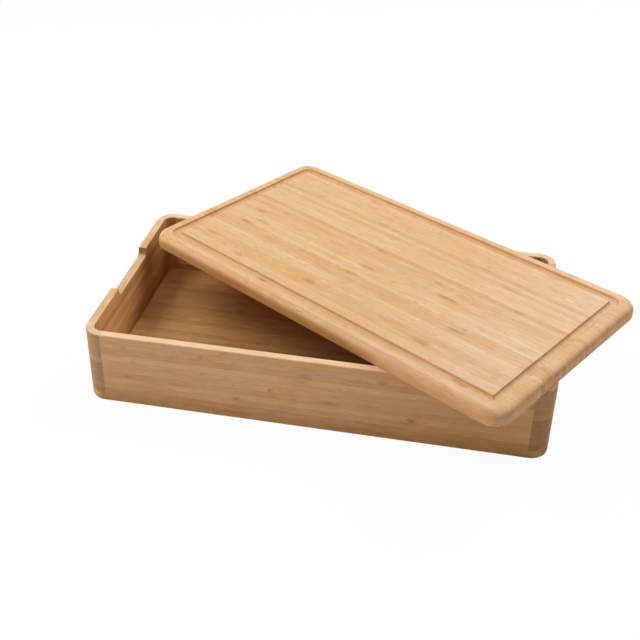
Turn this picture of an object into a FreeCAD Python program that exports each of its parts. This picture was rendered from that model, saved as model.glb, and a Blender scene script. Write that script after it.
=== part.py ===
import FreeCAD, Part
import math
import os
import Sketcher

# A bamboo storage box with a loose cutting board for a lid. Everything is glued up from staves
# and strips. The box is a base panel, four walls and four rounded corner posts, with a blind
# spline in each upright seam. The board has a routed juice groove and lies askew on the rim.
# The origin is the centre of the box's underside: X runs along the box, Y to its back, Z up.

# Driving dimensions, in millimetres and degrees.
dimensions = [
    ("box_length", 510, "box, outside, along X"),
    ("box_width", 280, "box, outside, along Y"),
    ("base_thickness", 10.8, "base panel"),
    ("base_stave_count", 9, "staves across the base panel"),
    ("base_round", 2, "round-over of the base's lower edge"),
    ("wall_height", 78.5, "walls and posts, above the base"),
    ("wall_thickness", 9.5, "walls and posts"),
    ("outer_strip_height", 23.5, "lowest and highest strip of a wall"),
    ("inner_strip_count", 1, "strips between those two, which share the rest of the height"),
    ("rim_bevel", 0.7, "easing of the rim's two long edges"),
    ("corner_radius", 20, "outer radius of the box's upright corners"),
    ("post_straight", 1.5, "straight bit of a post between its curve and the seam"),
    ("post_joint_height", 40, "height of a post's lower block"),
    ("spline_width", 16, "spline, across the seam"),
    ("spline_thickness", 3, "spline and slot, glued face to face"),
    ("spline_margin", 9, "end of a slot to the top or the foot of the wall"),
    ("glue_gap", 0.3, "room for glue past the edges and ends of a spline"),
    ("notch_length", 95, "grip notch in the rim of each short wall"),
    ("notch_depth", 10.6, "grip notch, below the rim"),
    ("notch_corner", 8, "rounded inside corners of the grip notch"),
    ("board_thickness", 16.8, "cutting board"),
    ("board_overhang_ends", 3.1, "board past the box at each end, when closed"),
    ("board_overhang_sides", 2.1, "board past the box at front and back, when closed"),
    ("board_stave_count", 14, "staves across the board"),
    ("board_round", 9.5, "round-over of the board's upper edge"),
    ("board_foot_bevel", 0.8, "easing of the board's lower edge"),
    ("groove_inset", 15.4, "edge of the board to the outer lip of the groove"),
    ("groove_width", 10.7, "juice groove, from lip to lip"),
    ("groove_depth", 3.9, "juice groove"),
    ("groove_bend", 0.6, "radius left on the inside of the groove's corners"),
    ("board_shift_x", 52.6, "centre of the board from the centre of the box, along X"),
    ("board_shift_y", 44.8, "centre of the board from the centre of the box, along Y"),
    ("board_angle", -31.75, "turn of the board about Z, from closed"),
]

doc = FreeCAD.newDocument("BoardAndBox")
sheet = doc.addObject("Spreadsheet::Sheet", "Dims")
for row, (alias, number, meaning) in enumerate(dimensions, start=1):
    sheet.set("A%d" % row, meaning)
    sheet.set("B%d" % row, str(number))
    sheet.setAlias("B%d" % row, alias)
doc.recompute()

# Lengths that several pieces share, worked out from the driving dimensions.
rim_level = "(Dims.base_thickness + Dims.wall_height)"
post_reach = "(Dims.corner_radius + Dims.post_straight)"
long_wall = "(Dims.box_length - 2 * %s)" % post_reach
short_wall = "(Dims.box_width - 2 * %s)" % post_reach
slot_reach = "(Dims.spline_width / 2 + Dims.glue_gap)"
slot_low = "((Dims.wall_thickness - Dims.spline_thickness) / 2)"
slot_high = "((Dims.wall_thickness + Dims.spline_thickness) / 2)"
slot_height = "(Dims.wall_height - 2 * Dims.spline_margin)"
board_length = "(Dims.box_length + 2 * Dims.board_overhang_ends)"
board_width = "(Dims.box_width + 2 * Dims.board_overhang_sides)"
board_corner = "(Dims.corner_radius + Dims.board_overhang_sides)"
cutter_radius = "((Dims.groove_width ^ 2 / 4 + Dims.groove_depth ^ 2) / (2 * Dims.groove_depth))"
cutter_inset = "(Dims.groove_inset + Dims.groove_width / 2)"
cutter_level = "(Dims.board_thickness - Dims.groove_depth + %s)" % cutter_radius

tiny = 1e-6
in_plane = 0.001
upright = FreeCAD.Vector(0, 0, 1)
sub_parts = []


def value(expression):
    result = sheet.evalExpression(expression)
    return float(getattr(result, "Value", result))


def sit(item, x="0", y="0", z="0", turn="0"):
    # Places an item, and binds its three coordinates and its turn about Z to expressions.
    item.Placement = FreeCAD.Placement(FreeCAD.Vector(), FreeCAD.Rotation(upright, 1))
    item.setExpression("Placement.Base.x", x)
    item.setExpression("Placement.Base.y", y)
    item.setExpression("Placement.Base.z", z)
    item.setExpression("Placement.Rotation.Angle", turn)


# Sketches.


def new_body(name):
    body = doc.addObject("PartDesign::Body", name)
    body.Label = name
    return body


def new_sketch(body, name, role, height="0"):
    # A sketch on one of the body's own origin planes, raised by an expression.
    plane = [item for item in body.Origin.OriginFeatures if item.Role == role][0]
    sketch = body.newObject("Sketcher::SketchObject", name)
    sketch.AttachmentSupport = [(plane, "")]
    sketch.MapMode = "FlatFace"
    sketch.setExpression("AttachmentOffset.Base.z", height)
    return sketch


def drive(sketch, kind, places, expression):
    # Adds a dimension that follows an expression.
    index = sketch.addConstraint(Sketcher.Constraint(kind, *places, value(expression)))
    sketch.setExpression("Constraints[%d]" % index, expression)


def locate(sketch, geometry, end, x, y):
    # Fixes a point's coordinates; one that is zero puts the point on the other axis.
    for kind, expression, axis in (("DistanceX", x, -2), ("DistanceY", y, -1)):
        if abs(value(expression)) < tiny:
            sketch.addConstraint(Sketcher.Constraint("PointOnObject", geometry, end, axis))
        elif value(expression) > 0:
            drive(sketch, kind, (-1, 1, geometry, end), expression)
        else:
            drive(sketch, kind, (geometry, end, -1, 1), "-(%s)" % expression)


def draw_outline(sketch, corners):
    # A closed outline of level and upright lines through corners given as expressions.
    first = sketch.GeometryCount
    places = [FreeCAD.Vector(value(x), value(y), 0) for x, y in corners]
    for index, start in enumerate(places):
        end = places[(index + 1) % len(places)]
        sketch.addGeometry(Part.LineSegment(start, end))
        kind = "Horizontal" if abs(start.y - end.y) < tiny else "Vertical"
        sketch.addConstraint(Sketcher.Constraint(kind, first + index))
    for index in range(len(places)):
        following = first + (index + 1) % len(places)
        sketch.addConstraint(Sketcher.Constraint("Coincident", first + index, 2, following, 1))
    # Every second corner fixes both of the lines that meet there.
    for index in range(0, len(places), 2):
        locate(sketch, first + index, 1, *corners[index])


def draw_rectangle(sketch, left, low, right, high):
    draw_outline(sketch, [(left, low), (right, low), (right, high), (left, high)])


def draw_rounded_rectangle(sketch, length, width, radius):
    # Four lines and four tangent arcs, centred on the origin, from the lower line anticlockwise.
    half_x = value(length) / 2
    half_y = value(width) / 2
    bend = value(radius)
    corners = [(half_x, -half_y), (half_x, half_y), (-half_x, half_y), (-half_x, -half_y)]
    for side, corner in enumerate(corners):
        start = FreeCAD.Vector(*corners[side - 1], 0)
        end = FreeCAD.Vector(*corner, 0)
        along = (end - start).normalize() * bend
        inward = FreeCAD.Vector(-along.y, along.x, 0)
        sketch.addGeometry(Part.LineSegment(start + along, end - along))
        circle = Part.Circle(end - along + inward, upright, bend)
        opening = (side - 1) * math.pi / 2
        sketch.addGeometry(Part.ArcOfCircle(circle, opening, opening + math.pi / 2))
        kind = "Vertical" if side % 2 else "Horizontal"
        sketch.addConstraint(Sketcher.Constraint(kind, 2 * side))
    for piece in range(8):
        sketch.addConstraint(Sketcher.Constraint("Tangent", piece, 2, (piece + 1) % 8, 1))
    for side in range(1, 4):
        sketch.addConstraint(Sketcher.Constraint("Equal", 1, 2 * side + 1))
    drive(sketch, "Radius", (1,), radius)
    run = "(%s / 2 - %s)" % (length, radius)
    locate(sketch, 0, 1, "-" + run, "-%s / 2" % width)
    locate(sketch, 4, 1, run, "%s / 2" % width)


# Features.


def pad(body, sketch, height):
    feature = body.newObject("PartDesign::Pad", body.Name + "_pad")
    feature.Profile = sketch
    feature.setExpression("Length", height)
    doc.recompute()
    return feature


def pocket(body, name, sketch, depth, reverse):
    # Cuts a sketch into the body, and makes sure that it took something away.
    before = body.Shape.Volume
    feature = body.newObject("PartDesign::Pocket", name)
    feature.Profile = sketch
    feature.Reversed = reverse
    feature.setExpression("Length", depth)
    doc.recompute()
    if body.Shape.Volume > before - tiny:
        raise RuntimeError(name + " cut nothing")
    return feature


def work_edges(body, kind, name, wanted, dimension, size):
    # Fillets or chamfers the edges of the body's last feature that pass a test.
    tip = body.Tip
    edges = ["Edge%d" % number for number, edge in enumerate(tip.Shape.Edges, 1) if wanted(edge)]
    feature = body.newObject("PartDesign::" + kind, name)
    feature.Base = (tip, edges)
    feature.setExpression(dimension, size)
    doc.recompute()
    return feature


def fillet(body, name, wanted, radius):
    return work_edges(body, "Fillet", name, wanted, "Radius", radius)


def bevel(body, name, wanted, size):
    return work_edges(body, "Chamfer", name, wanted, "Size", size)


def lies_at(edge, **coordinates):
    # True for an edge that lies in the given planes all along.
    box = edge.BoundBox
    return all(
        abs(getattr(box, axis + end) - place) < in_plane
        for axis, place in coordinates.items()
        for end in ("Min", "Max")
    )


def slab(name, axis, low, high):
    # A block from low to high along one axis, and well past every panel along the others.
    block = doc.addObject("Part::Box", name)
    cover = "Dims.box_length"
    for side, place in (("Length", "x"), ("Width", "y"), ("Height", "z")):
        inside = place == axis
        block.setExpression(side, "%s - %s" % (high, low) if inside else "2 * " + cover)
        block.setExpression("Placement.Base." + place, low if inside else "-" + cover)
    return block


def piece_of(panel, block, name):
    # One stave, strip or block of a glued-up panel, as a sub-part that can be placed by itself.
    piece = doc.addObject("Part::Common", name)
    piece.Base = panel
    piece.Tool = block
    piece.Label = name
    sub_parts.append(piece)
    return piece


def stave_slabs(prefix, width, count_name):
    # Staves of one width, from the front edge of a panel to its back edge.
    count = round(value(count_name))
    edges = ["(%s * (%d / %s - 0.5))" % (width, index, count_name) for index in range(count + 1)]
    return [
        slab("%s_slab_%02d" % (prefix, index + 1), "y", edges[index], edges[index + 1])
        for index in range(count)
    ]


# Corners of the box, anticlockwise from the front left, with the signs of their X and Y.
corner_names = ["front_left", "front_right", "back_right", "back_left"]
corner_signs = [(-1, -1), (1, -1), (1, 1), (-1, 1)]


def sit_in_corner(item, quarter, along, across, height):
    # Places an item by its distances from a corner's outer point: along the side that starts
    # there, going anticlockwise round the box, and inward from that side.
    sign_x, sign_y = corner_signs[quarter]
    directions = [
        (along, across),
        ("-" + across, along),
        ("-" + along, "-" + across),
        (across, "-" + along),
    ]
    x, y = directions[quarter]
    sit(
        item,
        "%d * Dims.box_length / 2 + %s" % (sign_x, x),
        "%d * Dims.box_width / 2 + %s" % (sign_y, y),
        height,
        "%d" % (90 * quarter),
    )


# Base: one panel with rounded corners and a rounded lower edge, ripped into staves.

base_panel = new_body("base_panel")
base_sketch = new_sketch(base_panel, "base_outline", "XY_Plane")
draw_rounded_rectangle(base_sketch, "Dims.box_length", "Dims.box_width", "Dims.corner_radius")
pad(base_panel, base_sketch, "Dims.base_thickness")
fillet(base_panel, "base_edge_round", lambda edge: lies_at(edge, Z=0), "Dims.base_round")
for number, block in enumerate(stave_slabs("base", "Dims.box_width", "Dims.base_stave_count"), 1):
    sit(piece_of(base_panel, block, "base_stave_%02d" % number))


# Walls: a long and a short panel, each used twice. A panel starts at a seam and lies along +X,
# with its outer face at y = 0 and its foot at z = 0.


def make_wall(name, length):
    body = new_body(name)
    outline = new_sketch(body, name + "_outline", "XY_Plane")
    draw_rectangle(outline, "0", "0", length, "Dims.wall_thickness")
    pad(body, outline, "Dims.wall_height")
    slots = new_sketch(body, name + "_slots", "XY_Plane", "Dims.spline_margin")
    draw_rectangle(slots, "0", slot_low, slot_reach, slot_high)
    draw_rectangle(slots, "%s - %s" % (length, slot_reach), slot_low, length, slot_high)
    pocket(body, name + "_slot_cut", slots, slot_height, True)
    return body


def ease_rim(body, name):
    # Eases the long edges of the rim, along both faces of the wall.
    top = value("Dims.wall_height")
    faces = (0, value("Dims.wall_thickness"))
    bevel(
        body,
        name,
        lambda edge: any(lies_at(edge, Z=top, Y=face) for face in faces),
        "Dims.rim_bevel",
    )


long_panel = make_wall("long_wall", long_wall)
ease_rim(long_panel, "long_wall_rim_bevel")

short_panel = make_wall("short_wall", short_wall)
notch_sketch = new_sketch(short_panel, "notch_outline", "XZ_Plane")
draw_rectangle(
    notch_sketch,
    "(%s - Dims.notch_length) / 2" % short_wall,
    "Dims.wall_height - Dims.notch_depth",
    "(%s + Dims.notch_length) / 2" % short_wall,
    "Dims.wall_height + Dims.notch_depth",
)
pocket(short_panel, "notch_cut", notch_sketch, "Dims.wall_thickness", False)
notch_floor = value("Dims.wall_height - Dims.notch_depth")
notch_middle = value(short_wall) / 2
notch_half = value("Dims.notch_length") / 2
fillet(
    short_panel,
    "notch_corner_round",
    lambda edge: any(
        lies_at(edge, Z=notch_floor, X=notch_middle + side * notch_half) for side in (-1, 1)
    ),
    "Dims.notch_corner",
)
ease_rim(short_panel, "short_wall_rim_bevel")

inner_count = round(value("Dims.inner_strip_count"))
inner_strip = "((Dims.wall_height - 2 * Dims.outer_strip_height) / Dims.inner_strip_count)"
strip_edges = ["0"]
for index in range(inner_count + 1):
    strip_edges.append("(Dims.outer_strip_height + %d * %s)" % (index, inner_strip))
strip_edges.append("Dims.wall_height")
strip_slabs = [
    slab("strip_slab_%d" % (index + 1), "z", strip_edges[index], strip_edges[index + 1])
    for index in range(inner_count + 2)
]
walls = [("front", long_panel), ("right", short_panel), ("back", long_panel), ("left", short_panel)]
for quarter, (side, panel) in enumerate(walls):
    for number, block in enumerate(strip_slabs, 1):
        strip = piece_of(panel, block, "%s_wall_strip_%d" % (side, number))
        sit_in_corner(strip, quarter, post_reach, "0", "Dims.base_thickness")


# Corner posts: a rounded quarter of wall, cut in two blocks one above the other. The post stands
# with its outer point at the origin, before rounding, and its seams at the end of each leg.

post = new_body("corner_post")
post_sketch = new_sketch(post, "post_outline", "XY_Plane")
thickness = "Dims.wall_thickness"
draw_outline(
    post_sketch,
    [
        ("0", "0"),
        (post_reach, "0"),
        (post_reach, thickness),
        (thickness, thickness),
        (thickness, post_reach),
        ("0", post_reach),
    ],
)
pad(post, post_sketch, "Dims.wall_height")
fillet(post, "post_outer_round", lambda edge: lies_at(edge, X=0, Y=0), "Dims.corner_radius")
inside = value(thickness)
fillet(
    post,
    "post_inner_round",
    lambda edge: lies_at(edge, X=inside, Y=inside),
    "Dims.corner_radius - Dims.wall_thickness",
)
post_slots = new_sketch(post, "post_slots", "XY_Plane", "Dims.spline_margin")
slot_start = "%s - %s" % (post_reach, slot_reach)
draw_rectangle(post_slots, slot_start, slot_low, post_reach, slot_high)
draw_rectangle(post_slots, slot_low, slot_start, slot_high, post_reach)
pocket(post, "post_slot_cut", post_slots, slot_height, True)
rim_top = value("Dims.wall_height")
seam = value(post_reach)
bevel(
    post,
    "post_rim_bevel",
    lambda edge: lies_at(edge, Z=rim_top) and not lies_at(edge, X=seam) and not lies_at(edge, Y=seam),
    "Dims.rim_bevel",
)

post_slabs = [
    ("lower", slab("post_lower_slab", "z", "0", "Dims.post_joint_height")),
    ("upper", slab("post_upper_slab", "z", "Dims.post_joint_height", "Dims.wall_height")),
]
for quarter, corner in enumerate(corner_names):
    for level, block in post_slabs:
        post_block = piece_of(post, block, "%s_post_%s_block" % (corner, level))
        sit_in_corner(post_block, quarter, "0", "0", "Dims.base_thickness")


# Splines: one across each upright seam, hidden in its slots, standing on the slots' floor.


def make_spline(name, quarter, along, across, size_x, size_y):
    body = new_body(name)
    outline = new_sketch(body, name + "_outline", "XY_Plane")
    draw_rectangle(outline, "0", "0", size_x, size_y)
    pad(body, outline, "%s - Dims.glue_gap" % slot_height)
    foot = "Dims.base_thickness + Dims.spline_margin"
    sit_in_corner(body, quarter, along, across, foot)
    sub_parts.append(body)


spline_start = "(%s - Dims.spline_width / 2)" % post_reach
for quarter, corner in enumerate(corner_names):
    # The wall that starts at this corner is a long one at the front left and the back right.
    starting, ending = ("short", "long") if quarter % 2 else ("long", "short")
    name = "%s_%s_wall_spline" % (corner, starting)
    make_spline(name, quarter, spline_start, slot_low, "Dims.spline_width", "Dims.spline_thickness")
    name = "%s_%s_wall_spline" % (corner, ending)
    make_spline(name, quarter, slot_low, spline_start, "Dims.spline_thickness", "Dims.spline_width")


# Board: a panel with a rounded upper edge and a groove swept by a ball-nosed cutter round a
# rectangle, ripped into staves and turned askew on the rim.

board_panel = new_body("board_panel")
board_sketch = new_sketch(board_panel, "board_outline", "XY_Plane")
draw_rounded_rectangle(board_sketch, board_length, board_width, board_corner)
pad(board_panel, board_sketch, "Dims.board_thickness")
board_top = value("Dims.board_thickness")
fillet(board_panel, "board_edge_round", lambda edge: lies_at(edge, Z=board_top), "Dims.board_round")
bevel(board_panel, "board_foot_bevel", lambda edge: lies_at(edge, Z=0), "Dims.board_foot_bevel")

groove_path = new_sketch(board_panel, "groove_path", "XY_Plane", cutter_level)
draw_rounded_rectangle(
    groove_path,
    "(%s - 2 * %s)" % (board_length, cutter_inset),
    "(%s - 2 * %s)" % (board_width, cutter_inset),
    "(%s + Dims.groove_bend)" % cutter_radius,
)
cutter = new_sketch(board_panel, "groove_cutter", "XZ_Plane")
path_end = "(%s / 2 - %s)" % (board_length, cutter_inset)
centre = FreeCAD.Vector(value(path_end), value(cutter_level), 0)
cutter.addGeometry(Part.Circle(centre, upright, value(cutter_radius)))
drive(cutter, "Radius", (0,), cutter_radius)
locate(cutter, 0, 3, path_end, cutter_level)
doc.recompute()
plain_volume = board_panel.Shape.Volume
groove = board_panel.newObject("PartDesign::SubtractivePipe", "juice_groove")
groove.Profile = cutter
groove.Spine = groove_path
doc.recompute()
if board_panel.Shape.Volume > plain_volume - tiny:
    raise RuntimeError("the juice groove cut nothing")

for number, block in enumerate(stave_slabs("board", board_width, "Dims.board_stave_count"), 1):
    stave = piece_of(board_panel, block, "board_stave_%02d" % number)
    sit(stave, "Dims.board_shift_x", "Dims.board_shift_y", rim_level, "Dims.board_angle")

doc.recompute()

# Nothing is written unless every object came out sound and the pieces add up to their panels.

for item in doc.Objects:
    if "Invalid" in item.State or "Error" in item.State:
        raise RuntimeError("%s failed: %s" % (item.Name, item.State))
for piece in sub_parts:
    if piece.Shape.isNull() or not piece.Shape.isValid() or len(piece.Shape.Solids) != 1:
        raise RuntimeError(piece.Label + " is not one sound solid")
panels = [(base_panel, 1), (long_panel, 2), (short_panel, 2), (post, 4), (board_panel, 1)]
whole = sum(panel.Shape.Volume * copies for panel, copies in panels)
glued = sum(piece.Shape.Volume for piece in sub_parts if piece.TypeId == "Part::Common")
if abs(whole - glued) > whole * tiny:
    raise RuntimeError("the pieces do not add up to their panels")

os.makedirs("parts", exist_ok=True)
for piece in sub_parts:
    piece.Shape.exportStep(os.path.join("parts", piece.Label + ".step"))
print("%d sub-parts, %.3f litres of bamboo" % (len(sub_parts), glued / 1e6))
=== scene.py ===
import math
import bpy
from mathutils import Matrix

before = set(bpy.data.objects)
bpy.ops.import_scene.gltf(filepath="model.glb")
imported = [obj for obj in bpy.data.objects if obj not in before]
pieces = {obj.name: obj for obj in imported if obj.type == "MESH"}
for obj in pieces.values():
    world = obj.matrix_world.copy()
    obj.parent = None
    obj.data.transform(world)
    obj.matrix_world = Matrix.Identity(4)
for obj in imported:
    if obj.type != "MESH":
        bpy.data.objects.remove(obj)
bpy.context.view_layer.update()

from types import SimpleNamespace

import bpy
from mathutils import Matrix, Vector

# A bamboo board lying askew on a bamboo box. All of its shapes are the frame's own pieces: this
# script gives them their bamboo, and sets up the camera, the floor and the light.

print("frame: %d pieces" % len(pieces))


# Shader values that can be written as sums. Wire wraps a socket, and Recipe is the material that
# is being mixed.

class Wire:
    def __init__(self, recipe, socket):
        self.recipe = recipe
        self.socket = socket

    def __add__(self, other):
        return self.recipe.maths("ADD", self, other)

    def __radd__(self, other):
        return self.recipe.maths("ADD", other, self)

    def __sub__(self, other):
        return self.recipe.maths("SUBTRACT", self, other)

    def __rsub__(self, other):
        return self.recipe.maths("SUBTRACT", other, self)

    def __mul__(self, other):
        return self.recipe.maths("MULTIPLY", self, other)

    def __rmul__(self, other):
        return self.recipe.maths("MULTIPLY", other, self)

    def __truediv__(self, other):
        return self.recipe.maths("DIVIDE", self, other)

    def __rtruediv__(self, other):
        return self.recipe.maths("DIVIDE", other, self)

    def __abs__(self):
        return self.recipe.maths("ABSOLUTE", self)

    def output(self, name):
        # Another output of the node that this value comes from.
        return Wire(self.recipe, self.socket.node.outputs[name])


class Recipe:
    rowLength, columnWidth, rowHeight = 10, 190, 240  # how the nodes lie in the editor

    def __init__(self, owner):
        owner.use_nodes = True
        self.owner = owner
        self.tree = owner.node_tree
        self.tree.nodes.clear()

    def add(self, kind, settings=None, sockets=None, out=0):
        # Any node: its settings first, then a value or a wire for each socket that matters.
        row, column = divmod(len(self.tree.nodes), self.rowLength)
        node = self.tree.nodes.new(kind)
        node.location = (column * self.columnWidth, -row * self.rowHeight)
        for key, setting in (settings or {}).items():
            if key == "stops":
                self.setStops(node.color_ramp.elements, setting)
            else:
                setattr(node, key, setting)
        for key, given in (sockets or {}).items():
            if isinstance(given, Wire):
                self.tree.links.new(given.socket, node.inputs[key])
            else:
                node.inputs[key].default_value = given
        return Wire(self, node.outputs[out]) if len(node.outputs) else node

    def setStops(self, stops, wanted):
        while len(stops) < len(wanted):
            stops.new(0.5)
        for stop, (place, colour) in zip(stops, wanted):
            stop.position = place
            stop.color = colour

    def maths(self, operation, *values):
        return self.add("ShaderNodeMath", {"operation": operation}, dict(enumerate(values)))

    def vector(self, operation, *values, out=0):
        sockets = dict(enumerate(values))
        return self.add("ShaderNodeVectorMath", {"operation": operation}, sockets, out)

    def ease(self, value, start, end):
        # Runs smoothly from 0 to 1 as the value goes from start to end.
        sockets = {"Value": value, "From Min": start, "From Max": end}
        return self.add("ShaderNodeMapRange", {"interpolation_type": "SMOOTHSTEP"}, sockets)

    def colour(self, share, first, second, how="MIX"):
        sockets = {0: share, 6: first, 7: second}
        return self.add("ShaderNodeMix", {"data_type": "RGBA", "blend_type": how}, sockets, out=2)

    def tinted(self, colour, tint):
        return self.colour(1.0, colour, tint, "MULTIPLY")

    def noise(self, place, scale, detail, roughness):
        # Noise from 0 to 1, with its own scale per millimetre along each axis.
        spread = self.vector("MULTIPLY", place, scale)
        sockets = {"Vector": spread, "Scale": 1, "Detail": detail, "Roughness": roughness}
        return self.add("ShaderNodeTexNoise", {"noise_dimensions": "3D"}, sockets)

    def chance(self, value, salt):
        # One random number for each whole value.
        return self.add("ShaderNodeTexWhiteNoise", {"noise_dimensions": "1D"}, {"W": value + salt})


def tone(red, green, blue):
    # A colour as it looks on screen, from 0 to 255, as the shader wants it.
    def straight(part):
        part = part / 255
        return part / 12.92 if part <= 0.04045 else ((part + 0.055) / 1.055) ** 2.4
    return (straight(red), straight(green), straight(blue), 1)


# Camera: where it stands, in metres, and its heading in radians, for a square picture.

camera = {
    "eye": (0.15525, -0.96750, 0.72596), "yaw": -0.1767, "pitch": -0.5413, "roll": 0.0204,
    "lens": 56.46, "sensor": 36,  # millimetres
    "rise": -0.1,  # lens shift, as a share of the frame
    "nearest": 0.05, "farthest": 30,
}


def placeCamera():
    data = bpy.data.cameras.new("camera")
    data.sensor_width = camera["sensor"]
    data.lens = camera["lens"]
    data.shift_y = camera["rise"]
    data.clip_start = camera["nearest"]
    data.clip_end = camera["farthest"]
    taker = bpy.data.objects.new("camera", data)
    bpy.context.scene.collection.objects.link(taker)
    yaw, pitch, roll = camera["yaw"], camera["pitch"], camera["roll"]
    level = math.cos(pitch)
    ahead = Vector((math.sin(yaw) * level, math.cos(yaw) * level, math.sin(pitch)))
    right = ahead.cross(Vector((0, 0, 1))).normalized()
    up = right.cross(ahead)
    tiltedRight = math.cos(roll) * right + math.sin(roll) * up
    tiltedUp = math.cos(roll) * up - math.sin(roll) * right
    turn = Matrix((tiltedRight, tiltedUp, -ahead)).transposed()
    taker.matrix_world = Matrix.Translation(camera["eye"]) @ turn.to_4x4()
    bpy.context.scene.camera = taker


placeCamera()
print("camera placed")


# Bamboo. A piece is glued up from slats, each with its own tone, fibres and knuckles. Lengths are
# millimetres: x runs along the fibres, and y and z run across them.

bamboo = {
    "noises": {  # scale per millimetre, detail, roughness
        "fibres": ((0.06, 0.6, 0.6), 4, 0.6),
        "streaks": ((0.022, 0.26, 0.26), 3, 0.6),
        "clouds": ((0.026, 0.1, 0.1), 3, 0.6),
        "warmth": ((0.016, 0.09, 0.09), 3, 0.6),
        "lines": ((0.08, 0.7, 0.7), 2, 0.55),
        "ragged": ((0.07, 0.4, 0.4), 3, 0.7),
        "dots": ((0.6, 1.6, 1.6), 2, 0.5),
    },
    "salts": {"tone": 0.37, "warmth": 11.61, "shift": 23.17, "strength": 37.93},
    "spans": {  # from none of it to all of it
        "dashLines": (0.57, 0.7), "dashClouds": (0.4, 0.58), "bundleLines": (0.42, 0.6),
        "inSlat": (0.5, 0.2), "strongKnuckle": (0.3, 1), "mark": (1.15, 0.15),
        "warmCloud": (0.36, 0.64), "dot": (0.5, 0.66), "darkEndSlat": (0.62, 0.9),
        "looksUp": (0.6, 0.9), "looksSideways": (0.96, 0.75), "steep": (0.62, 0.3),
        "upright": (0.5, 0.1), "alongFibres": (0.8, 0.3), "farSideLightAndShade": (0, 200), "joint": (0.9, 0.2),
    },
    "farWall": 40,  # added to the slat numbers of the far one of two walls
    "chanceJump": 700, "slatJump": 90,  # how far a slat's grain is moved along
    "knuckleJitter": 14, "markJitter": 1.1, "leastBundle": 0.4,
    "slatWarmth": 0.3, "cloudWarmth": 0.9, "coolness": 0.1,
    "glueWidth": 0.45, "jointStrength": 0.6, "dotStrength": 0.4,
    "roughness": {"plain": 0.48, "fibres": 0.22, "knuckle": 0.08, "cut": 0.12, "glue": 0.1},
    "relief": {"fibres": 0.5, "streaks": 0.35, "glue": 0.6, "dashes": 0.35, "knuckle": 0.3},
    "bumpStrength": 0.4, "bumpHeight": 0.00016,  # metres
}
spans = bamboo["spans"]


def panelOf(mix, look):
    # Where a point lies in its panel, which way it faces, and what its slat is like.
    here = mix.add("ShaderNodeTexCoord", out="Object")
    facing = here.output("Normal")
    if look.get("folded"):  # the four corners share one pattern, mirrored
        here = mix.vector("ABSOLUTE", here)
        facing = mix.vector("ABSOLUTE", facing)
    turn = math.radians(look["turn"])
    place = mix.add(
        "ShaderNodeMapping",
        {"vector_type": "TEXTURE"},
        {
            "Vector": here,
            "Location": [part / 1000 for part in look["centre"]],
            "Rotation": (0, 0, turn),
            "Scale": (0.001, 0.001, 0.001),
        },
    )
    along = mix.add("ShaderNodeSeparateXYZ", sockets={"Vector": place}, out="X")
    across = along.output(look["across"])
    deep = along.output("Z" if look["across"] == "Y" else "Y")

    slatPlace = (across - look["firstEdge"]) / look["slat"]
    slat = mix.maths("FLOOR", slatPlace)
    piece = slat
    if look.get("paired"):
        piece = slat + bamboo["farWall"] * mix.maths("GREATER_THAN", deep, 0)
    own = {
        name: mix.chance(piece, look["seed"] + salt) for name, salt in bamboo["salts"].items()
    }
    jumped = bamboo["chanceJump"] * own["shift"] + bamboo["slatJump"] * piece
    jump = mix.add("ShaderNodeCombineXYZ", sockets={"X": jumped})

    fibreWay = (math.cos(turn), math.sin(turn), 0)
    return SimpleNamespace(
        place=place, along=along, across=across, deep=deep,
        slat=slat, inSlat=slatPlace - slat - 0.5, own=own,
        grown=mix.vector("ADD", place, jump),  # so that no grain runs on from slat to slat
        endOn=abs(mix.vector("DOT_PRODUCT", facing, fibreWay, out="Value")),
        upward=mix.add("ShaderNodeSeparateXYZ", sockets={"Vector": facing}, out="Z"),
    )


def knucklesOf(mix, look, panel, lines):
    # Soft bundles of short lines, one in each slat for every length of cane.
    ragged = mix.noise(panel.grown, *bamboo["noises"]["ragged"]) - 0.5
    cane = look["cane"]
    laps = panel.along / cane + panel.own["shift"]
    fromKnuckle = (laps - mix.maths("FLOOR", laps) - 0.5) * cane
    fromKnuckle = fromKnuckle + ragged * bamboo["knuckleJitter"]
    knuckle = mix.ease(abs(fromKnuckle), look["knuckleLength"], 1)
    knuckle = knuckle * mix.ease(abs(panel.inSlat), *spans["inSlat"])
    strong = mix.ease(panel.own["strength"], *spans["strongKnuckle"])
    knuckle = knuckle * strong * look["plainKnuckles"]

    # The knuckles that show most have places of their own.
    lying = look["across"] == "Y"
    for markAlong, markAcross, length, height, weight in look.get("marks", ()):
        centre = (markAlong, markAcross, 0) if lying else (markAlong, 0, markAcross)
        reach = (1 / length, 1 / height, 0) if lying else (1 / length, 0, 1 / height)
        offset = mix.vector("SUBTRACT", panel.place, centre)
        away = mix.vector("LENGTH", mix.vector("MULTIPLY", offset, reach), out="Value")
        spot = mix.ease(away + ragged * bamboo["markJitter"], *spans["mark"]) * weight
        if look.get("paired"):  # on the near wall only
            spot = spot * mix.maths("LESS_THAN", panel.deep, 0)
        knuckle = mix.maths("MAXIMUM", knuckle, spot)
    least = bamboo["leastBundle"]
    return knuckle * (least + (1 - least) * mix.ease(lines, *spans["bundleLines"]))


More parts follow.
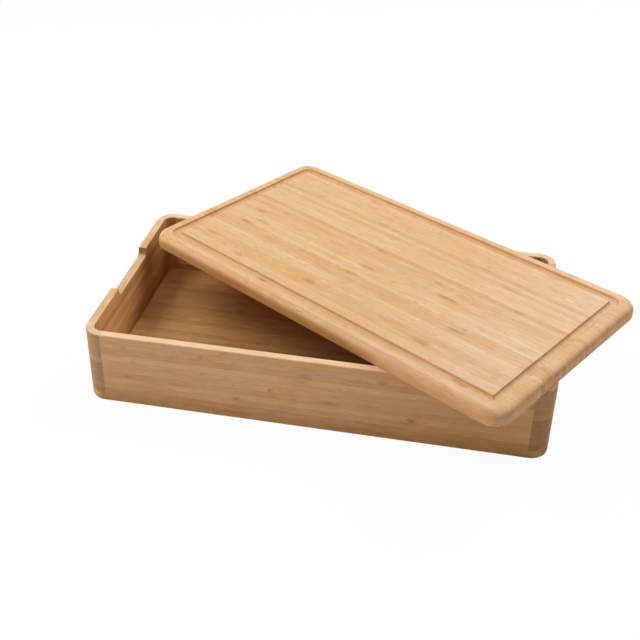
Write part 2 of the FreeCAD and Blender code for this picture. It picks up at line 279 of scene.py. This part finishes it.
def paintedLightAndShadeOf(mix, look, panel, ground):
    # Painted light and shade on a panel: along it, on its faces and in its groove.
    along, across, upward = panel.along, panel.across, panel.upward
    groundBeforeLight = ground
    if "lightAndShadeAlong" in look:  # a change along the panel: painted shade, and on the board a painted sheen
        lightAndShadeAlong = look["lightAndShadeAlong"]
        share = mix.ease(along, *lightAndShadeAlong["span"])
        if "stop" in lightAndShadeAlong:
            share = share * mix.ease(along, *lightAndShadeAlong["stop"])
        ground = mix.colour(share, ground, mix.tinted(ground, lightAndShadeAlong["tint"]))
    if "rim" in look:  # painted light: faces that look up are paler, and the notch's floor a little less
        litTops = look["rim"]
        if "notch" in look:
            litTops = mix.colour(mix.ease(across, *look["notchTop"]), look["notch"], litTops)
        ground = mix.colour(mix.ease(upward, *spans["looksUp"]), ground, mix.tinted(groundBeforeLight, litTops))
    if "sideLightAndShade" in look:  # painted light and shade on long edges, from their left end to their right end
        sideways = mix.ease(abs(upward), *spans["looksSideways"])
        sideways = sideways * mix.ease(panel.endOn, *spans["alongFibres"])
        change = mix.ease(along, *spans["farSideLightAndShade"])
        change = mix.colour(change, look["sideLightAndShade"], look["farSideLightAndShade"])
        ground = mix.colour(sideways, ground, mix.tinted(groundBeforeLight, change))
    if "paintedFlankShade" in look:  # painted shade on the upright part of the long edges
        steep = mix.ease(abs(upward), *spans["steep"])
        steep = steep * mix.ease(panel.endOn, *spans["alongFibres"])
        steep = steep * mix.ease(along, *look["paintedFlankShadeTo"])
        ground = mix.colour(steep, ground, mix.tinted(ground, look["paintedFlankShade"]))
    if "groove" in look:  # painted shade in the groove: at its ends, and most on its sides that face the front
        groove = look["groove"]
        sunk = mix.ease(panel.deep, *groove["depth"])
        sunk = sunk * mix.maths("LESS_THAN", abs(along), groove["halfLength"])
        sunk = sunk * mix.maths("LESS_THAN", abs(across), groove["halfWidth"])
        nearSide = mix.ease(across, *groove["nearSide"]) * mix.maths("LESS_THAN", across, 0)
        frontSlopes = mix.ease(across, *groove["farSide"]) + nearSide
        grooveShade = mix.colour(frontSlopes, groove["runs"], groove["frontSlopeShade"])
        grooveShade = mix.colour(mix.ease(abs(along), *groove["endRuns"]), grooveShade, groove["ends"])
        ground = mix.colour(sunk, ground, mix.tinted(ground, grooveShade))
    return ground


def endGrainOf(mix, look, panel, ground):
    # Darker and redder, dotted with the cut ends of the fibres.
    dots = mix.ease(mix.noise(panel.place, *bamboo["noises"]["dots"]), *spans["dot"])
    darkSlats = mix.ease(panel.own["tone"], *spans["darkEndSlat"]) * look["endSlats"]
    ends = mix.tinted(ground, look["endTint"])
    ends = mix.colour(dots * bamboo["dotStrength"] + darkSlats, ends, look["endDot"])
    if "endReflection" in look:  # painted reflection: paler below the round-over
        upright = mix.ease(abs(panel.upward), *spans["upright"])
        ends = mix.colour(upright, ends, mix.tinted(ends, look["endReflection"]))
    return ends


def bambooFinish(name, look):
    mix = Recipe(bpy.data.materials.new(name))
    panel = panelOf(mix, look)
    noises = bamboo["noises"]
    fibres = mix.noise(panel.grown, *noises["fibres"])
    streaks = mix.noise(panel.grown, *noises["streaks"])
    clouds = mix.noise(panel.grown, *noises["clouds"])
    lines = mix.noise(panel.grown, *noises["lines"])
    warmth = mix.noise(panel.place, *noises["warmth"])
    dashes = mix.ease(lines, *spans["dashLines"]) * mix.ease(clouds, *spans["dashClouds"])
    knuckle = knucklesOf(mix, look, panel, lines)
    halfSlat = look["slat"] / 2
    fromMiddle = abs(panel.inSlat) * look["slat"]
    glue = mix.ease(fromMiddle, halfSlat - bamboo["glueWidth"], halfSlat)

    # The slat's tone, then everything that darkens it.
    shade = 0.5 + (panel.own["tone"] - 0.5) * look["slatSpread"]
    for noise, weight in ((streaks, "streaks"), (fibres, "fibres"), (clouds, "clouds")):
        shade = shade + (noise - 0.5) * look[weight]
    for number, step in look.get("slatSteps", ()):
        shade = shade + step * mix.maths("COMPARE", panel.slat, number, 0.5)
    stops = [(0, look["dark"]), (0.5, look["body"]), (1, look["pale"])]
    ground = mix.add("ShaderNodeValToRGB", {"stops": stops}, {"Fac": shade})
    warm = mix.ease(warmth, *spans["warmCloud"]) * bamboo["cloudWarmth"]
    warm = panel.own["warmth"] * bamboo["slatWarmth"] + warm - bamboo["coolness"]
    ground = mix.colour(warm, ground, mix.tinted(ground, look["warm"]))
    ground = mix.colour(dashes * look["dashes"], ground, look["fleck"])
    ground = mix.colour(knuckle * look["knuckles"], ground, look["knuckle"])
    ground = mix.colour(glue * look["glue"], ground, look["fleck"])

    # Upper blocks are yellower than lower ones, with a glue line between them.
    if "joint" in look:
        above = mix.maths("GREATER_THAN", panel.across, look["joint"])
        lower, upper = mix.tinted(ground, look["lower"]), mix.tinted(ground, look["upper"])
        ground = mix.colour(above, lower, upper)
        line = mix.ease(abs(panel.across - look["joint"]), *spans["joint"])
        ground = mix.colour(line * bamboo["jointStrength"], ground, look["fleck"])

    ground = paintedLightAndShadeOf(mix, look, panel, ground)
    cut = mix.ease(panel.endOn, *look["endSpan"])
    ground = mix.colour(cut, ground, endGrainOf(mix, look, panel, ground))

    rough, relief = bamboo["roughness"], bamboo["relief"]
    roughness = rough["plain"] + (fibres - 0.5) * rough["fibres"] + knuckle * rough["knuckle"]
    roughness = roughness + cut * rough["cut"] + glue * rough["glue"]
    height = fibres * relief["fibres"] + streaks * relief["streaks"] - glue * relief["glue"]
    height = height - dashes * relief["dashes"] - knuckle * relief["knuckle"]
    bump = mix.add(
        "ShaderNodeBump",
        sockets={
            "Height": height, "Strength": bamboo["bumpStrength"], "Distance": bamboo["bumpHeight"],
        },
    )
    surface = mix.add(
        "ShaderNodeBsdfPrincipled",
        sockets={
            "Base Color": ground, "Roughness": roughness, "Normal": bump,
            "Specular IOR Level": look["shine"], "Specular Tint": look["sheen"],
        },
    )
    mix.add("ShaderNodeOutputMaterial", sockets={"Surface": surface})
    return mix.owner


def give(material, *words):
    # To every piece whose name has all of the words.
    for name, piece in pieces.items():
        if all(word in name for word in words):
            piece.data.materials.clear()
            piece.data.materials.append(material)


shared = {
    "centre": (0, 0, 0), "turn": 0,
    "slatSpread": 0.5, "streaks": 0.34, "fibres": 0.5, "clouds": 0.9,
    "dashes": 0.62, "knuckles": 0.9, "glue": 0.22,
    "cane": 240, "knuckleLength": 9, "plainKnuckles": 0.45,
    "dark": tone(206, 154, 100), "body": tone(229, 187, 140), "pale": tone(242, 207, 167),
    "warm": (1.0, 0.94, 0.8, 1), "fleck": tone(186, 130, 76), "knuckle": tone(178, 112, 60),
    "endSpan": (0.55, 0.95), "endTint": (0.78, 0.68, 0.59, 1), "endDot": tone(120, 78, 50),
    "endSlats": 0.15,
    "shine": 0.28, "sheen": (1, 0.82, 0.62, 1),
}

# Board: 14 staves of three slats, turned with the board.
boardLook = dict(
    shared,
    seed=3, centre=(52.6, 44.8, 89.3), turn=-31.75,
    across="Y", slat=284.2 / 42, firstEdge=-142.1,
    slatSpread=0.34, streaks=0.3, clouds=0.75,
    slatSteps=[(24, -0.22), (25, 0.2), (20, 0.12)],
    # painted sheen: paler towards the right end
    lightAndShadeAlong={"span": (50, 230), "stop": (246, 236), "tint": (1.04, 1.12, 1.33, 1)},
    # painted light on the long sides
    sideLightAndShade=(1.13, 1.12, 1.15, 1), farSideLightAndShade=(1.17, 1.09, 1.06, 1),
    # painted shade low on the long sides, towards the left end
    paintedFlankShade=(0.79, 0.72, 0.59, 1), paintedFlankShadeTo=(140, 40),
    # painted reflection: paler on the upright end faces
    endTint=(0.84, 0.68, 0.57, 1), endReflection=(1.22, 1.42, 1.7, 1), endDot=tone(134, 84, 58),
    endSlats=0.35,
    # painted shade in the groove, most on the slopes that face the front
    groove={
        "depth": (16.75, 16.35), "halfLength": 246, "halfWidth": 130,
        "nearSide": (-118.6, -116.3), "farSide": (124.4, 126.2), "endRuns": (227, 231),
        "runs": (1.0, 1.03, 1.08, 1), "frontSlopeShade": (0.81, 0.77, 0.73, 1), "ends": (0.93, 0.91, 0.89, 1),
    },
    marks=[  # place along and across, length, height, strength
        (96.7, -8.2, 16, 4, 0.9), (-198.0, -8.2, 12, 5, 0.8), (-106.5, 113.5, 14, 4, 0.6),
        (-60.0, 74.0, 12, 4, 0.6), (93.0, 73.5, 12, 4, 0.6), (137.5, 57.5, 14, 3, 0.6),
        (-22.0, 20.0, 14, 3, 0.5), (-10.0, -19.5, 18, 4, 0.8), (-195.0, -40.0, 16, 5, 0.7),
        (-16.0, -42.0, 14, 4, 0.6), (140.0, -52.0, 16, 4, 0.8), (-40.0, -89.0, 14, 5, 0.7),
        (-200.0, -89.0, 14, 4, 0.6), (127.0, -94.0, 16, 6, 0.7), (-142.0, -104.0, 14, 4, 0.7),
        (-84.0, -121.0, 10, 4, 0.9), (194.0, -121.0, 12, 5, 0.7), (-72.0, -3.0, 12, 3, 0.4),
        (160.0, 115.0, 14, 5, 0.6), (-180.0, -27.0, 16, 4, 0.6),
    ],
)
give(bambooFinish("oiled bamboo board", boardLook), "board_stave")

# Walls: ten slats high. The marks are the near wall's.
wallLook = dict(
    shared,
    across="Z", slat=7.85, firstEdge=10.8, paired=True,
    slatSpread=0.42, fibres=0.44, clouds=0.78,
    slatSteps=[(0, -0.45), (2, 0.16), (5, -0.08), (8, 0.13), (9, 0.12)],
    body=tone(239, 188, 139), dark=tone(208, 157, 112), pale=tone(253, 211, 167),
    # painted light on faces that look up
    rim=(1.19, 1.49, 1.93, 1),
)
frontLook = dict(
    wallLook,
    seed=8,
    # painted shade: darker towards the right, under the board
    lightAndShadeAlong={"span": (-60, 220), "tint": (0.83, 0.79, 0.72, 1)},
    marks=[
        (-121.0, 77.0, 5, 5, 0.6), (76.5, 75.0, 7, 5, 0.5), (-44.0, 45.0, 5, 4, 0.8),
        (-206.0, 38.0, 8, 3, 0.6), (22.0, 38.0, 14, 3, 0.6), (109.0, 29.0, 8, 4, 0.8),
        (-82.0, 28.0, 7, 4, 0.5), (-155.0, 66.0, 16, 2, 0.4),
    ],
)
sideLook = dict(
    wallLook,
    seed=15, turn=90,
    body=tone(218, 166, 109), dark=tone(187, 139, 87),
    # painted shade: darker towards the back, under the board
    lightAndShadeAlong={"span": (-60, 100), "tint": (0.72, 0.72, 0.62, 1)},
    # painted light on faces that look up, less on the notch's floor
    rim=(1.1, 1.29, 1.68, 1), notch=(0.93, 1.06, 1.45, 1), notchTop=(81, 84),
)
longWall = bambooFinish("long wall bamboo", frontLook)
shortWall = bambooFinish("short wall bamboo", sideLook)
give(longWall, "front_wall_strip")
give(longWall, "back_wall_strip")
give(shortWall, "left_wall_strip")
give(shortWall, "right_wall_strip")

# Posts: their fibres run out through the corner, so the outside shows mostly end grain. The near
# right post is darker by painted shade.
postLook = dict(
    shared,
    seed=21, turn=45, folded=True,
    across="Z", slat=8.2, firstEdge=10.3,
    body=tone(216, 171, 130), dark=tone(188, 143, 107), pale=tone(230, 190, 153),
    # painted light on faces that look up
    rim=(1.06, 1.22, 1.4, 1),
    joint=50.8, upper=(1.2, 1.29, 1.46, 1), lower=(1.08, 1.06, 1.16, 1),
    endSpan=(0.25, 0.7), endTint=(0.8, 0.76, 0.68, 1),
)
# painted shade on the near right post
shadedPostLook = dict(postLook, upper=(1.02, 0.98, 0.97, 1), lower=(0.87, 0.76, 0.73, 1))
give(bambooFinish("post bamboo", postLook), "_post_", "_block")
give(bambooFinish("near right post bamboo", shadedPostLook), "front_right_post_", "_block")

# Base: nine staves of four slats.
baseLook = dict(
    shared,
    seed=34, across="Y", slat=280 / 36, firstEdge=-140,
    slatSpread=0.35,
    body=tone(240, 195, 132), dark=tone(200, 152, 97), pale=tone(252, 214, 157),
    # painted shade: the floor darker away from its left end, under the board
    lightAndShadeAlong={"span": (-235, -110), "tint": (0.6, 0.53, 0.46, 1)},
    # painted shade on the sides, darker towards the right
    sideLightAndShade=(0.95, 0.87, 0.88, 1), farSideLightAndShade=(0.76, 0.68, 0.64, 1),
)
give(bambooFinish("base bamboo", baseLook), "base_stave")

# Splines, shut in the seams.
splineLook = dict(shared, seed=55, across="Z", slat=7.85, firstEdge=10.8)
give(bambooFinish("raw bamboo spline", splineLook), "_spline")
print("bamboo on %d pieces" % len(pieces))


# Floor and light: a white floor and room, and large soft lamps to the left and behind to the right.

studio = {
    "floorSize": 8, "floorTone": (0.86, 0.86, 0.86, 1), "shadowShare": 0.05, "roomGlow": 0.30,
    "white": (1, 1, 1, 1), "aim": (0, 0, 0.05),
    "lamps": {
        "left": {"at": (-1.2, 0, 1.5), "size": 1.1, "power": 15.1},
        "low left": {"at": (-1.9, 0, 0.5), "size": 1.1, "power": 5.4},
        "back right": {"at": (0.9, 0.9, 1.5), "size": 1.1, "power": 18.9},
    },
}


def whiteView(mix):
    # 1 where a ray from the camera, or one seen in a gloss or through glass, meets the white.
    path = mix.add("ShaderNodeLightPath", out="Is Camera Ray")
    seen = mix.maths("MAXIMUM", path, path.output("Is Glossy Ray"))
    return mix.maths("MAXIMUM", seen, path.output("Is Transmission Ray"))


def makeFloor():
    half = studio["floorSize"] / 2
    corners = [(-half, -half, 0), (half, -half, 0), (half, half, 0), (-half, half, 0)]
    data = bpy.data.meshes.new("floor")
    data.from_pydata(corners, [], [(0, 1, 2, 3)])
    floor = bpy.data.objects.new("floor", data)
    bpy.context.scene.collection.objects.link(floor)
    mix = Recipe(bpy.data.materials.new("floor white"))
    white = studio["white"]
    paint = mix.add("ShaderNodeBsdfDiffuse", sockets={"Color": studio["floorTone"]})
    bright = mix.add("ShaderNodeBsdfDiffuse", sockets={"Color": white})
    glow = mix.add("ShaderNodeEmission", sockets={"Color": white, "Strength": 1})
    shown = mix.add("ShaderNodeMixShader", sockets={0: studio["shadowShare"], 1: glow, 2: bright})
    either = mix.add("ShaderNodeMixShader", sockets={0: whiteView(mix), 1: paint, 2: shown})
    mix.add("ShaderNodeOutputMaterial", sockets={"Surface": either})
    data.materials.append(mix.owner)


def makeRoom():
    world = bpy.data.worlds.new("studio")
    bpy.context.scene.world = world
    mix = Recipe(world)
    white, dim = studio["white"], studio["roomGlow"]
    light = mix.add("ShaderNodeBackground", sockets={"Color": white, "Strength": dim})
    bright = mix.add("ShaderNodeBackground", sockets={"Color": white, "Strength": 1})
    either = mix.add("ShaderNodeMixShader", sockets={0: whiteView(mix), 1: light, 2: bright})
    mix.add("ShaderNodeOutputWorld", sockets={"Surface": either})


def hangLamp(name, lamp):
    data = bpy.data.lights.new(name, "AREA")
    data.shape = "SQUARE"
    data.size = lamp["size"]
    data.energy = lamp["power"]
    light = bpy.data.objects.new(name, data)
    bpy.context.scene.collection.objects.link(light)
    light.location = lamp["at"]
    beam = Vector(studio["aim"]) - Vector(lamp["at"])
    light.rotation_euler = beam.to_track_quat("-Z", "Y").to_euler()


makeFloor()
makeRoom()
for name, lamp in studio["lamps"].items():
    hangLamp(name, lamp)
bpy.context.scene.view_settings.view_transform = "Standard"
print("floor and light ready")
